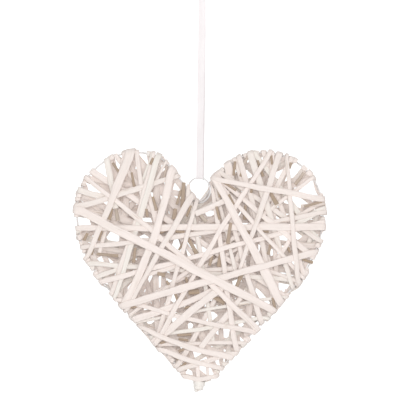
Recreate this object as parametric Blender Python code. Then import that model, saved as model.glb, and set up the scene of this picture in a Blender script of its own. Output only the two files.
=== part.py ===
# Wicker heart: split willow strips wound over a heart of wire, with a ring and a ribbon to hang it.
# Metres, +Z up, front towards -Y. The origin is the ribbon's knot, where the heart hangs.
import math

import bmesh
import bpy
import numpy as np

# Heart outline, all heights measured down from the knot
HEART_X = -0.0024
LOBE_RADIUS = 0.059
LOBES_APART = 0.005
LOBE_Z = -0.223
FLANK_RADIUS = 0.1106
FLANK_TURN = math.radians(41.8)
NOTCH_RISE = 0.0134
NOTCH_FILLET = 0.003
NECK_TOP_HALF = 0.0128
NECK_DROP = 0.0045
NECK_STRAIGHT = 0.0062
NECK_HALF = 0.0020

# Rim wire
RIM_WIRE_RADIUS = 0.0009
RIM_POINT_SPACING = 0.0115
GRID_MARGIN = 0.017

# Willow strips
STRIP_WIDTH = 0.006
STRIP_THICKNESS = 0.0014
STRIP_GAP = 0.0003
SLOPE_RATIO = 1.12
DOME_RISE = 0.0125
DOME_POWER = 0.6
TAIL_LENGTH = 0.016
SEGMENT_LENGTH = 0.024
WRAP_RUN = 0.0025
WRAP_RUN_MOST = 0.012
WRAP_SLACK = 0.0012
WRAP_MARGIN = 0.0005
STIFF_SPAN = 0.02
SLIP = 0.005
SLIP_RATIO = 0.05
SAMPLE_STEP = 0.0004
CROWD_CELL = 0.001
CROWD_ROUNDS = 900

# Winding at the tip
TIP_TOP_RADIUS = 0.0065
TIP_END_RADIUS = 0.0040
TIP_LENGTH = 0.0098
TIP_TURNS = 3.2
TIP_BAND = 0.0026

# Hanging ring
RING_RADIUS = 0.01125
RING_WIRE_RADIUS = 0.00075
RING_TILT = math.radians(20.0)
RING_LIFT = 0.0086
RING_SEGMENTS = 28

# Ribbon
RIBBON_WIDTH = 0.0072
RIBBON_THICKNESS = 0.0005
RIBBON_SPREAD = 0.0031
RIBBON_LEGS = 10
KNOT_LENGTH = 0.012
KNOT_DEPTH = 0.0105
KNOT_WIDTH = 0.0092

# Sizes that follow from the ones above
LOBE_OFFSET = LOBE_RADIUS + LOBES_APART
HALF_WIDTH = LOBE_OFFSET + LOBE_RADIUS
NOTCH_Z = LOBE_Z + NOTCH_RISE
RING_Z = NOTCH_Z + RING_LIFT
FLANK_END_X = HALF_WIDTH - FLANK_RADIUS * (1.0 - math.cos(FLANK_TURN))
FLANK_END_Z = LOBE_Z - FLANK_RADIUS * math.sin(FLANK_TURN)
NECK_Z = FLANK_END_Z - (FLANK_END_X - NECK_TOP_HALF) / math.tan(FLANK_TURN)

# Each winding is a width, as a share of the usual strip's, and the places it visits, in hundredths
# of the way round the rim, starting at the notch and going clockwise seen from the front. Every
# second leg runs across the back. The windings lie over each other in this order, so the last
# ones are the outermost.
WINDINGS = (
    ("winding_01", 1.00, (17.9, 53.4, 11.2, 33.2, 87.2, 40.9, 83.7, 32.2)),
    ("winding_02", 1.33, (5.4, 40.0, 71.5, 31.2, 75.8, 21.2, 6.4, 34.6, 89.9, 57.3)),
    ("winding_03", 1.00, (9.0, 25.6, 7.2, 38.0, 8.2, 27.9, 73.4, 88.2, 30.3, 10.2, 65.4, 37.4)),
    ("winding_04", 0.83, (94.2, 79.1, 23.2, 68.9, 43.1, 12.4, 60.0, 41.9, 13.7, 54.4, 91.5, 66.4)),
    ("winding_05", 1.17, (27.6, 62.0, 18.5, 58.1, 85.9, 61.1)),
    ("winding_06", 0.97, (99.1, 58.8, 24.3, 76.6, 45.6, 5.0, 29.0, 4.3, 43.8, 57.6, 93.1, 67.2)),
    ("winding_07", 1.33, (3.6, 35.5, 89.4, 72.0, 95.4, 63.0, 27.0, 64.6)),
    ("winding_08", 1.00, (2.9, 20.3, 63.8, 97.0, 82.7, 38.8, 78.2, 36.6)),
    ("winding_09", 0.77, (13.2, 31.9, 56.6, 46.2, 62.0, 44.3)),
    ("winding_10", 0.80, (52.7, 47.1, 53.4, 46.7)),
)

for item in list(bpy.data.objects):
    bpy.data.objects.remove(item, do_unlink=True)

heart_collection = bpy.data.collections.new("wicker_heart")
bpy.context.scene.collection.children.link(heart_collection)


def material(name, colour, roughness, metallic=0.0):
    made = bpy.data.materials.new(name)
    made.use_nodes = True
    shader = made.node_tree.nodes["Principled BSDF"]
    shader.inputs["Base Color"].default_value = (*colour, 1.0)
    shader.inputs["Roughness"].default_value = roughness
    shader.inputs["Metallic"].default_value = metallic
    made.diffuse_color = (*colour, 1.0)
    return made


WILLOW = material("whitewashed_willow", (0.86, 0.81, 0.76), 0.75)
TIP_WILLOW = material("tip_willow", (0.84, 0.80, 0.73), 0.75)
RIM_PAINT = material("painted_rim_wire", (0.62, 0.61, 0.60), 0.5, 0.3)
RING_METAL = material("ring_wire", (0.72, 0.72, 0.74), 0.35, 0.8)
RIBBON_CLOTH = material("ribbon_cloth", (0.93, 0.88, 0.87), 0.6)


def heart_half():
    """Right half of the wire's centre line, from the notch to the tip."""
    reach = math.hypot(LOBE_OFFSET, NOTCH_RISE)
    run = math.sqrt(reach ** 2 - LOBE_RADIUS ** 2)
    lean = math.atan2(-NOTCH_RISE, LOBE_OFFSET) + math.asin(LOBE_RADIUS / reach)
    touch = (run * math.cos(lean), NOTCH_Z + run * math.sin(lean))
    opening = math.pi / 2 - lean
    centre_z = NOTCH_Z + NOTCH_FILLET / math.sin(opening)
    points = []
    for t in np.linspace(0.0, math.pi / 2 - opening, 7):
        points.append((NOTCH_FILLET * math.sin(t), centre_z - NOTCH_FILLET * math.cos(t)))
    start = math.atan2(touch[1] - LOBE_Z, touch[0] - LOBE_OFFSET)
    for t in np.linspace(start, 0.0, 90):
        points.append((LOBE_OFFSET + LOBE_RADIUS * math.cos(t), LOBE_Z + LOBE_RADIUS * math.sin(t)))
    flank_x = HALF_WIDTH - FLANK_RADIUS
    for t in np.linspace(0.0, FLANK_TURN, 41)[1:]:
        points.append((flank_x + FLANK_RADIUS * math.cos(t), LOBE_Z - FLANK_RADIUS * math.sin(t)))
    for t in np.linspace(0.0, 1.0, 51)[1:]:
        x = FLANK_END_X + (NECK_TOP_HALF - FLANK_END_X) * t
        points.append((x, FLANK_END_Z + (NECK_Z - FLANK_END_Z) * t))
    low = NECK_Z - NECK_DROP
    for t in np.linspace(0.0, 1.0, 7)[1:]:
        points.append((NECK_TOP_HALF + (NECK_HALF - NECK_TOP_HALF) * t, NECK_Z + (low - NECK_Z) * t))
    points.append((NECK_HALF, low - NECK_STRAIGHT))
    for t in np.linspace(0.3, math.pi / 2, 6):
        points.append((NECK_HALF * math.cos(t), low - NECK_STRAIGHT - NECK_HALF * math.sin(t)))
    return np.array(points)


RIM_SAMPLES = 2000
right = heart_half()
left = right[::-1].copy()
left[:, 0] *= -1.0
loop = np.vstack([right, left[1:]])
steps = np.concatenate([[0.0], np.cumsum(np.hypot(*np.diff(loop, axis=0).T))])
RIM_LENGTH = steps[-1]
marks = np.linspace(0.0, RIM_LENGTH, RIM_SAMPLES, endpoint=False)
rim = np.stack([np.interp(marks, steps, loop[:, 0]), np.interp(marks, steps, loop[:, 1])], axis=1)
ahead = np.roll(rim, -6, axis=0) - np.roll(rim, 6, axis=0)
rim_along = ahead / np.linalg.norm(ahead, axis=1)[:, None]
rim_in = np.stack([rim_along[:, 1], -rim_along[:, 0]], axis=1)


def rim_index(station):
    return int(round(station / 100.0 * RIM_SAMPLES)) % RIM_SAMPLES


# Hollow body between the two layers: a smooth cushion that meets the rim all round
CUSHION_STEP = 0.004
GRID_X0 = -HALF_WIDTH - GRID_MARGIN
GRID_Z0 = NECK_Z - GRID_MARGIN
GRID_Z1 = LOBE_Z + LOBE_RADIUS + GRID_MARGIN
cushion_x = GRID_X0 + CUSHION_STEP * np.arange(int(round(-2 * GRID_X0 / CUSHION_STEP)) + 1)
cushion_z = GRID_Z0 + CUSHION_STEP * np.arange(int(round((GRID_Z1 - GRID_Z0) / CUSHION_STEP)) + 1)


def inside_heart():
    outline = rim[::5]
    after = np.roll(outline, -1, axis=0)
    px, pz = np.meshgrid(cushion_x, cushion_z, indexing="ij")
    inside = np.zeros(px.shape, dtype=bool)
    for (x0, z0), (x1, z1) in zip(outline, after):
        if z0 == z1:
            continue
        crosses = (z0 > pz) != (z1 > pz)
        inside ^= crosses & (px < (x1 - x0) * (pz - z0) / (z1 - z0) + x0)
    return inside


def cushion():
    inside = inside_heart()
    level = np.zeros(inside.shape)
    for _ in range(1500):
        around = level[2:, 1:-1] + level[:-2, 1:-1] + level[1:-1, 2:] + level[1:-1, :-2]
        level[1:-1, 1:-1] = np.where(inside[1:-1, 1:-1], (around + 1.0) / 4.0, 0.0)
    return DOME_RISE * (level / level.max()) ** DOME_POWER


CUSHION = cushion()


def cushion_height(points):
    fx = np.clip((points[:, 0] - cushion_x[0]) / CUSHION_STEP, 0, len(cushion_x) - 1.001)
    fz = np.clip((points[:, 1] - cushion_z[0]) / CUSHION_STEP, 0, len(cushion_z) - 1.001)
    ix, iz = fx.astype(int), fz.astype(int)
    tx, tz = fx - ix, fz - iz
    low = CUSHION[ix, iz] * (1 - tx) + CUSHION[ix + 1, iz] * tx
    high = CUSHION[ix, iz + 1] * (1 - tx) + CUSHION[ix + 1, iz + 1] * tx
    return low * (1 - tz) + high * tz


# How far the piece already reaches out, to the front and to the back, over a fine grid
CELL = 0.0005
GRID_SHAPE = (int(round(-2 * GRID_X0 / CELL)) + 1, int(round((GRID_Z1 - GRID_Z0) / CELL)) + 1)
FRONT, BACK = -1.0, 1.0
reached = {FRONT: np.full(GRID_SHAPE, -1.0), BACK: np.full(GRID_SHAPE, -1.0)}
rim_reach = np.full(RIM_SAMPLES, RIM_WIRE_RADIUS)


def cells_of(points):
    ix = np.clip(np.rint((points[..., 0] - GRID_X0) / CELL).astype(int), 1, GRID_SHAPE[0] - 2)
    iz = np.clip(np.rint((points[..., 1] - GRID_Z0) / CELL).astype(int), 1, GRID_SHAPE[1] - 2)
    return ix, iz


def raise_field(side, points, heights):
    ix, iz = cells_of(points)
    for dx in (-1, 0, 1):
        for dz in (-1, 0, 1):
            np.maximum.at(reached[side], (ix + dx, iz + dz), heights)


for side in (FRONT, BACK):
    for offset in np.linspace(-RIM_WIRE_RADIUS, RIM_WIRE_RADIUS, 5):
        raise_field(side, rim + rim_in * offset, np.full(RIM_SAMPLES, RIM_WIRE_RADIUS))

ring_turns = np.linspace(0.0, 2 * math.pi, 400, endpoint=False)
ring_points = np.stack([
    RING_RADIUS * np.sin(ring_turns) * math.cos(RING_TILT),
    -RING_RADIUS * np.sin(ring_turns) * math.sin(RING_TILT),
    RING_Z - RING_RADIUS * np.cos(ring_turns)], axis=1)
for side in (FRONT, BACK):
    near = ring_points[side * ring_points[:, 1] > -RING_WIRE_RADIUS]
    for offset in np.linspace(-RING_WIRE_RADIUS, RING_WIRE_RADIUS, 5):
        scale = 1.0 + offset / RING_RADIUS
        flat = np.stack([near[:, 0] * scale, RING_Z + (near[:, 2] - RING_Z) * scale], axis=1)
        raise_field(side, flat, side * near[:, 1] + RING_WIRE_RADIUS)

# No strip is wrapped where the ring crosses the wire
ring_flat = ring_points[:, [0, 2]]
ring_away = np.array([np.hypot(*(ring_flat - place).T).min() for place in rim])
rim_reach[ring_away < RING_WIRE_RADIUS + RIM_WIRE_RADIUS + STRIP_GAP] = RING_RADIUS

HALF_UP = STRIP_THICKNESS / 2 * SLOPE_RATIO


def leg_samples(centres, halves, fineness=SAMPLE_STEP):
    """Points over the strip's footprint, leg by leg, with how far along each leg they lie.

    Each leg is two flat triangles, so a line of even height runs across it in two straight parts.
    """
    for k in range(len(centres) - 1):
        length = np.linalg.norm(centres[k + 1] - centres[k])
        width = 2 * np.linalg.norm(halves[k])
        overrun = STRIP_THICKNESS / 2 / max(length, 1e-6)
        low = -overrun if k == 0 else 0.0
        high = 1.0 + overrun if k == len(centres) - 2 else 1.0
        u = np.linspace(low, high, max(3, int(length / fineness) + 2))[:, None]
        v = np.linspace(0.0, 1.0, max(2, int(width / fineness) + 2))[None, :]
        near_a, near_b = centres[k] - halves[k], centres[k] + halves[k]
        far_a, far_b = centres[k + 1] - halves[k + 1], centres[k + 1] + halves[k + 1]
        inner = (1 - u) * v
        outer = u * (1 - v)
        first = near_a * (1 - u - inner)[..., None] + near_b * inner[..., None] + far_b * (u + 0 * v)[..., None]
        second = near_a * (1 - u + 0 * v)[..., None] + far_a * outer[..., None] + far_b * (u - outer)[..., None]
        yield k, u[:, 0], np.concatenate([first, second], axis=1)


def stand_out(flat, index):
    """Note how far a strip's footprint reaches out past the rim beside a wrap."""
    window = (np.arange(-50, 51) + index) % RIM_SAMPLES
    away = flat[:, None, :] - rim[window][None, :, :]
    nearest = (away ** 2).sum(axis=2).argmin(axis=1)
    outward = -(away[np.arange(len(flat)), nearest] * rim_in[window[nearest]]).sum(axis=1)
    np.maximum.at(rim_reach, window[nearest], outward)


def wrap_place(index, half_width):
    """Slip a wrap sideways to where it lies lowest; gives its place and its distance from the wire."""
    pace = RIM_LENGTH / RIM_SAMPLES
    spread = int(math.ceil((half_width + WRAP_MARGIN) / pace))
    slip = int(round(SLIP / pace))
    best = None
    for shift in range(-slip, slip + 1):
        window = (np.arange(-spread, spread + 1) + index + shift) % RIM_SAMPLES
        out = rim_reach[window].max()
        cost = out + abs(shift) * pace * SLIP_RATIO
        if best is None or cost < best[0]:
            best = (cost, (index + shift) % RIM_SAMPLES, out + STRIP_GAP + STRIP_THICKNESS / 2, window)
    return best[1:]


def plan_leg(start, end, width):
    """One pass of a strip seen from the front; start and end are (rim index, reach) or a free point."""
    half = width / 2
    ends = [rim[spot[0]] if isinstance(spot, tuple) else spot for spot in (start, end)]
    way = ends[1] - ends[0]
    length = np.linalg.norm(way)
    way = way / length
    across = np.array([-way[1], way[0]])
    centres, halves = [], []
    for spot, point, heading in ((start, ends[0], way), (end, ends[1], -way)):
        if isinstance(spot, tuple):
            index, reach = spot
            straight = max(0.25, abs(heading @ rim_in[index]))
            skew = math.sqrt(max(0.0, 1 - straight ** 2))
            run = min(max(WRAP_RUN, (half * skew + WRAP_SLACK) / straight), WRAP_RUN_MOST, length * 0.3)
            along = rim_along[index] * (1.0 if rim_along[index] @ across > 0 else -1.0)
            centres.append([rim[index] - rim_in[index] * reach, point + heading * run])
            halves.append([along * half * 0.94, across * half])
        else:
            centres.append([point])
            halves.append([across * half])
    first, last = centres[0][-1], centres[1][-1]
    span = np.linalg.norm(last - first)
    pieces = max(2, int(round(span / SEGMENT_LENGTH))) if span > STIFF_SPAN else 1
    middle = [first + (last - first) * (0.5 - 0.5 * math.cos(math.pi * j / pieces)) for j in range(1, pieces)]
    line = np.array(centres[0] + middle + centres[1][::-1])
    spread = np.array(halves[0] + [across * half] * len(middle) + halves[1][::-1])
    lowest = np.full(len(line), -1.0)
    for slot, spot in ((0, start), (-1, end)):
        if isinstance(spot, tuple):
            lowest[slot] = RIM_WIRE_RADIUS + STRIP_GAP + HALF_UP
    rest = np.maximum(lowest, cushion_height(line) + HALF_UP)
    rest = np.where(lowest > 0, lowest, rest)
    for k, u, points in leg_samples(line, spread):
        flat = points.reshape(-1, 2)
        if k == 0 and isinstance(start, tuple):
            stand_out(flat, start[0])
        if k >= len(line) - 2 and isinstance(end, tuple):
            stand_out(flat, end[0])
    return line, spread, rest, lowest


def free_point(index, toward):
    """Where a strip's loose end lies, a short way in from the rim."""
    other = rim[toward] - rim[index]
    other = other / np.linalg.norm(other)
    sideways = -(other @ rim_along[index])
    inward = max(0.5, math.sqrt(max(0.0, 1 - sideways ** 2)))
    heading = rim_in[index] * inward + rim_along[index] * sideways
    return rim[index] + heading / np.linalg.norm(heading) * TAIL_LENGTH


def plan_winding(width, stations):
    """All passes of one strip, front and back by turns, with a short loose end at either end."""
    wraps = []
    legs = []
    side = BACK
    for k in range(len(stations) + 1):
        if k < len(stations):
            index, out, window = wrap_place(rim_index(stations[k]), width / 2)
            wraps.append((index, out))
        start = wraps[k - 1] if k > 0 else free_point(wraps[0][0], rim_index(stations[1]))
        end = wraps[k] if k < len(stations) else free_point(wraps[-1][0], wraps[-2][0])
        line, spread, rest, lowest = plan_leg(start, end, width)
        if legs and (spread[0] * legs[-1]["spread"][-1]).sum() < 0:
            spread = -spread
        legs.append({"side": side, "line": line, "spread": spread, "rest": rest, "lowest": lowest,
                     "wraps": (wraps[k - 1][0] if k > 0 else None, wraps[k][0] if k < len(stations) else None)})
        if k < len(stations):
            rim_reach[window] = np.maximum(rim_reach[window], out + STRIP_THICKNESS / 2)
        side = -side
    return legs


def crowd(legs, side):
    """Share out the depth where strips cross: upper strips give way outward, lower ones inward."""
    chosen = [leg for leg in legs if leg["side"] == side]
    base = np.concatenate([leg["rest"] for leg in chosen])
    lowest = np.concatenate([leg["lowest"] for leg in chosen])
    starts = np.cumsum([0] + [len(leg["rest"]) for leg in chosen])
    cell, order, slot, part_way = [], [], [], []
    for number, leg in enumerate(chosen):
        for k, u, points in leg_samples(leg["line"], leg["spread"], 2 * SAMPLE_STEP):
            ix = np.rint((points[..., 0] - GRID_X0) / CROWD_CELL).astype(int)
            iz = np.rint((points[..., 1] - GRID_Z0) / CROWD_CELL).astype(int)
            key = (ix * 4096 + iz).ravel()
            fraction = np.repeat(np.clip(u, 0.0, 1.0), points.shape[1])
            picked, first = np.unique(key, return_index=True)
            cell.append(picked)
            part_way.append(fraction[first])
            slot.append(np.full(len(picked), starts[number] + k))
            order.append(np.full(len(picked), number))
    cell, order, slot, part_way = (np.concatenate(x) for x in (cell, order, slot, part_way))
    sort = np.lexsort((order, cell))
    cell, order, slot, part_way = cell[sort], order[sort], slot[sort], part_way[sort]
    touching = np.nonzero((cell[1:] == cell[:-1]) & (order[1:] != order[:-1]))[0]
    low_slot, low_b = slot[touching], part_way[touching]
    high_slot, high_b = slot[touching + 1], part_way[touching + 1]
    low_a, high_a = 1 - low_b, 1 - high_b
    inner = np.ones(len(base), dtype=bool)
    inner[starts[:-1]] = False
    inner[starts[1:] - 1] = False
    heights = base.copy()
    need = 2 * HALF_UP + STRIP_GAP
    for turn in range(CROWD_ROUNDS):
        ease = max(0.0, 1.0 - turn / (0.6 * CROWD_ROUNDS))
        low = low_a * heights[low_slot] + low_b * heights[low_slot + 1]
        high = high_a * heights[high_slot] + high_b * heights[high_slot + 1]
        short = np.maximum(need - (high - low), 0.0)
        up = np.zeros(len(base))
        down = np.zeros(len(base))
        low_norm = short / 2 / (low_a ** 2 + low_b ** 2)
        high_norm = short / 2 / (high_a ** 2 + high_b ** 2)
        np.maximum.at(down, low_slot, low_norm * low_a)
        np.maximum.at(down, low_slot + 1, low_norm * low_b)
        np.maximum.at(up, high_slot, high_norm * high_a)
        np.maximum.at(up, high_slot + 1, high_norm * high_b)
        heights += up - down
        shift = heights - base
        beside = (np.roll(shift, 1) + np.roll(shift, -1)) / 2
        shift = np.where(inner, shift + 0.2 * ease * (beside - shift), shift) * (1 - 0.01 * ease)
        heights = np.maximum(base + shift, lowest)
    for number, leg in enumerate(chosen):
        leg["rest"] = heights[starts[number]:starts[number + 1]]


def settle(leg):
    """Final heights of a pass, clear of everything already under it."""
    side, line, spread = leg["side"], leg["line"], leg["spread"]
    needs = []
    for k, u, points in leg_samples(line, spread):
        ix, iz = cells_of(points)
        needs.append((k, np.clip(u, 0.0, 1.0), reached[side][ix, iz].max(axis=1) + STRIP_GAP + HALF_UP))
    heights = leg["rest"].copy()
    for _ in range(400):
        worst = 0.0
        for k, u, need in needs:
            short = need - (heights[k] * (1 - u) + heights[k + 1] * u)
            j = int(short.argmax())
            if short[j] > 1e-7:
                a, b = 1 - u[j], u[j]
                heights[k] += short[j] * a / (a * a + b * b)
                heights[k + 1] += short[j] * b / (a * a + b * b)
                worst = max(worst, short[j])
        if worst < 1e-6:
            break
    for k, u, points in leg_samples(line, spread):
        top = heights[k] + (heights[k + 1] - heights[k]) * u + HALF_UP
        raise_field(side, points.reshape(-1, 2), np.repeat(top, points.shape[1]))
    leg["heights"] = heights


def sections_of(legs):
    """Centre, half width and outward half thickness all along one strip."""
    sections = []
    for leg in legs:
        side = leg["side"]
        last = len(leg["line"]) - 1
        for k, point in enumerate(leg["line"]):
            wrap = leg["wraps"][0] if k == 0 else leg["wraps"][1] if k == last else None
            out = np.array([0.0, side * HALF_UP, 0.0])
            if wrap is not None:
                away = -rim_in[wrap] * STRIP_THICKNESS / 2
                out = np.array([away[0], side * HALF_UP, away[1]])
            wide = np.array([leg["spread"][k][0], 0.0, leg["spread"][k][1]])
            sections.append((np.array([point[0], side * leg["heights"][k], point[1]]), wide, out))
    return sections


def strip_object(name, sections, made_of):
    """One closed strip through the sections, four corners each, capped at both ends."""
    mesh = bmesh.new()
    rings = []
    for centre, wide, out in sections:
        corners = (centre - wide - out, centre + wide - out, centre + wide + out, centre - wide + out)
        rings.append([mesh.verts.new((c[0] + HEART_X, c[1], c[2])) for c in corners])
    for a, b in zip(rings, rings[1:]):
        mesh.faces.new((a[0], a[1], b[1]))
        mesh.faces.new((a[0], b[1], b[0]))
        mesh.faces.new((a[1], a[2], b[2], b[1]))
        mesh.faces.new((a[3], b[2], a[2]))
        mesh.faces.new((a[3], b[3], b[2]))
        mesh.faces.new((a[3], a[0], b[0], b[3]))
    mesh.faces.new(rings[0][::-1])
    mesh.faces.new(rings[-1])
    bmesh.ops.recalc_face_normals(mesh, faces=mesh.faces)
    data = bpy.data.meshes.new(name)
    mesh.to_mesh(data)
    mesh.free()
    data.materials.append(made_of)
    made = bpy.data.objects.new(name, data)
    heart_collection.objects.link(made)
    return made


def wire_object(name, points, radius, cyclic, made_of, resolution=2):
    """Round wire along straight pieces, with closed ends."""
    curve = bpy.data.curves.new(name, "CURVE")
    curve.dimensions = "3D"
    curve.bevel_depth = radius
    curve.bevel_resolution = resolution
    curve.use_fill_caps = not cyclic
    spline = curve.splines.new("POLY")
    spline.points.add(len(points) - 1)
    for slot, point in zip(spline.points, points):
        slot.co = (*point, 1.0)
    spline.use_cyclic_u = cyclic
    curve.materials.append(made_of)
    made = bpy.data.objects.new(name, curve)
    heart_collection.objects.link(made)
    return made


def rim_wire_points():
    """Points set close where the wire bends hard and wide where it runs nearly straight."""
    turn = np.abs(np.cross(rim_along, np.roll(rim_along, -1, axis=0)))
    pace = RIM_LENGTH / RIM_SAMPLES
    density = np.maximum(pace / RIM_POINT_SPACING, turn / 0.5)
    total = np.cumsum(density)
    count = int(round(total[-1]))
    picks = np.searchsorted(total, np.linspace(0.0, total[-1], count, endpoint=False) + 1e-9)
    return [(rim[k][0] + HEART_X, 0.0, rim[k][1]) for k in picks]


wire_object("rim_wire", rim_wire_points(), RIM_WIRE_RADIUS, True, RIM_PAINT)

planned = [plan_winding(STRIP_WIDTH * share, stops) for _, share, stops in WINDINGS]
every_leg = [leg for legs in planned for leg in legs]
for side in (FRONT, BACK):
    crowd(every_leg, side)
for leg in every_leg:
    settle(leg)
for (winding_name, _, _), legs in zip(WINDINGS, planned):
    strip_object(winding_name, sections_of(legs), WILLOW)

# The ring passes behind the wire on one side of the notch and in front of it on the other
ring_path = []
for k in range(RING_SEGMENTS):
    turn = 2 * math.pi * k / RING_SEGMENTS
    ring_path.append((
        RING_RADIUS * math.sin(turn) * math.cos(RING_TILT) + HEART_X,
        -RING_RADIUS * math.sin(turn) * math.sin(RING_TILT),
        RING_Z - RING_RADIUS * math.cos(turn)))
wire_object("hanging_ring", ring_path, RING_WIRE_RADIUS, True, RING_METAL)

# Tip winding: a strip turned level round the two wires at the tip, drawn in towards the end
def tip_winding():
    top_z = NECK_Z - NECK_DROP - STRIP_GAP
    sides = 14
    count = int(sides * TIP_TURNS)
    sections = []
    for k in range(count + 1):
        t = k / count
        angle = 2 * math.pi * k / sides
        radius = TIP_TOP_RADIUS + (TIP_END_RADIUS - TIP_TOP_RADIUS) * t
        z = top_z - TIP_BAND / 2 - (TIP_LENGTH - TIP_BAND) * t
        way = np.array([math.cos(angle), math.sin(angle), 0.0])
        centre = way * (radius - STRIP_THICKNESS / 2) + np.array([0.0, 0.0, z])
        pitch = (TIP_LENGTH - TIP_BAND) / TIP_TURNS
        wide = np.array([0.0, 0.0, min(TIP_BAND, pitch - STRIP_GAP) / 2])
        sections.append((centre, wide, way * STRIP_THICKNESS / 2))
    return sections


strip_object("tip_winding", tip_winding(), TIP_WILLOW)


# Ribbon: down the front from the knot, under the top of the ring and back up behind it
def ribbon_path():
    """Points down the front strand, round the ring and up the back strand, with the ribbon's turn."""
    ring_top = RING_Z + RING_RADIUS
    edge_drop = RING_RADIUS - math.sqrt(RING_RADIUS ** 2 - (RIBBON_WIDTH / 2) ** 2)
    bend = (RING_WIRE_RADIUS + edge_drop + STRIP_GAP + RIBBON_THICKNESS / 2) * 1.03
    inner = (RIBBON_SPREAD - RIBBON_THICKNESS / 2) / (KNOT_DEPTH / 2)
    high = -KNOT_LENGTH / 2 * math.sqrt(1.0 - inner ** 2) - STRIP_GAP
    strand = []
    for t in np.linspace(0.0, 1.0, RIBBON_LEGS + 1):
        strand.append((t, RIBBON_SPREAD + (bend - RIBBON_SPREAD) * t, high + (ring_top - high) * t))
    turns = np.linspace(math.pi, 2 * math.pi, 9)[1:-1]
    around = [(1.0, bend * math.cos(turn), ring_top + bend * math.sin(turn)) for turn in turns]
    path = [(t, -away, z) for t, away, z in strand] + around + strand[::-1]
    points = []
    for t, away, z in path:
        turn = RING_TILT * t
        wide = np.array([math.cos(turn), -math.sin(turn), 0.0])
        off = np.array([math.sin(turn), math.cos(turn), 0.0])
        points.append((np.array([HEART_X * t, 0.0, z]) + off * away, wide))
    return points


def ribbon_object():
    path = ribbon_path()
    sections = []
    for k, (point, wide) in enumerate(path):
        way = path[min(k + 1, len(path) - 1)][0] - path[max(k - 1, 0)][0]
        out = np.cross(way, wide)
        out = out / np.linalg.norm(out)
        shift = np.array([HEART_X, 0.0, 0.0])
        sections.append((point - shift, wide * RIBBON_WIDTH / 2, out * RIBBON_THICKNESS / 2))
    return strip_object("ribbon", sections, RIBBON_CLOTH)


ribbon_object()


def knot_object():
    """Both ribbon ends drawn together in a small flattened knot."""
    mesh = bmesh.new()
    bmesh.ops.create_uvsphere(mesh, u_segments=12, v_segments=8, radius=0.5)
    bmesh.ops.scale(mesh, vec=(KNOT_WIDTH, KNOT_DEPTH, KNOT_LENGTH), verts=mesh.verts)
    data = bpy.data.meshes.new("ribbon_knot")
    mesh.to_mesh(data)
    mesh.free()
    data.materials.append(RIBBON_CLOTH)
    made = bpy.data.objects.new("ribbon_knot", data)
    heart_collection.objects.link(made)


knot_object()
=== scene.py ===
# Wicker heart: half-round split willow wound over a heart of wire, with its ring and ribbon.
# Metres, +Z up, front towards -Y, origin at the ribbon's knot.
from math import asin, atan2, ceil, cos, hypot, pi, radians, sin, sqrt, tan

import bpy
import numpy as np
from numpy.linalg import norm
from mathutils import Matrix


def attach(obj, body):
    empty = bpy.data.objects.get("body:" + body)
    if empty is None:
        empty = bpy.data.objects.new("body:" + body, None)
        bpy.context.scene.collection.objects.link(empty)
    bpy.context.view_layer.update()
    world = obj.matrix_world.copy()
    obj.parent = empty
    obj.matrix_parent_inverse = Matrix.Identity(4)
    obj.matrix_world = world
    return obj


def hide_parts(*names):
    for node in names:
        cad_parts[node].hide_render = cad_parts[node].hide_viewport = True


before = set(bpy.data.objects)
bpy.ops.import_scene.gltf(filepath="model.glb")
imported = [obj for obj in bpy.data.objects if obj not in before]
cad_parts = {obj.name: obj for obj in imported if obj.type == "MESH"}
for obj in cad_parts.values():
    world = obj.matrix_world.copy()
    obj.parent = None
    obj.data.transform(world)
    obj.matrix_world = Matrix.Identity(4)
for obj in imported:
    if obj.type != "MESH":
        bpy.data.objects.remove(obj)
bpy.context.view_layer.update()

scene = bpy.context.scene

# Heart outline, the same sizes as the solids
HEART_X = -0.0024
LOBE_RADIUS = 0.059
LOBES_APART = 0.005
LOBE_Z = -0.223
FLANK_RADIUS = 0.1106
FLANK_TURN = radians(41.8)
NOTCH_RISE = 0.0134
NOTCH_FILLET = 0.003
NECK_TOP_HALF = 0.0128
NECK_DROP = 0.0045
NECK_STRAIGHT = 0.0062
NECK_HALF = 0.002
LOBE_OFFSET = LOBE_RADIUS + LOBES_APART
HALF_WIDTH = LOBE_OFFSET + LOBE_RADIUS
NOTCH_Z = LOBE_Z + NOTCH_RISE
FLANK_END_X = HALF_WIDTH - FLANK_RADIUS * (1 - cos(FLANK_TURN))
FLANK_END_Z = LOBE_Z - FLANK_RADIUS * sin(FLANK_TURN)
NECK_Z = FLANK_END_Z - (FLANK_END_X - NECK_TOP_HALF) / tan(FLANK_TURN)
GRID_MARGIN = 0.017
RIM_SAMPLES = 2000
RIM_STRIDE = 4
RIM_WIRE_RADIUS = 0.0009
WIRE_CORNERS = 12
# The wire dips deeper at the notch than the solids' outline: station, and how far right and down in mm
NOTCH_DIP = np.array((
    (93, 0, 0), (94, -1.2, 1.5), (95, -2.2, 3), (96, -2.6, 3.5), (97, -2.8, 3.7), (98, -3, 3.4),
    (99, -4.2, 3.6), (99.5, -3.7, 3.9), (100, -1.5, 4.8), (100.5, -0.3, 5.4), (101, 0.9, 5.2),
    (102, 0.6, 2.6), (102.8, -0.9, 0.8), (104, 0, 0)))
NOTCH_BLEND = 6
TANGENT_REACH = 6

# Cushion of air that the two layers lie on, and how high a layer of 0 to 100 lies on it
DOME_RISE = 0.0125
DOME_POWER = 0.6
CUSHION_STEP = 0.004
CUSHION_ROUNDS = 1500
LAYER_REST = 0.4
LAYER_RISE = 0.6

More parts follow.
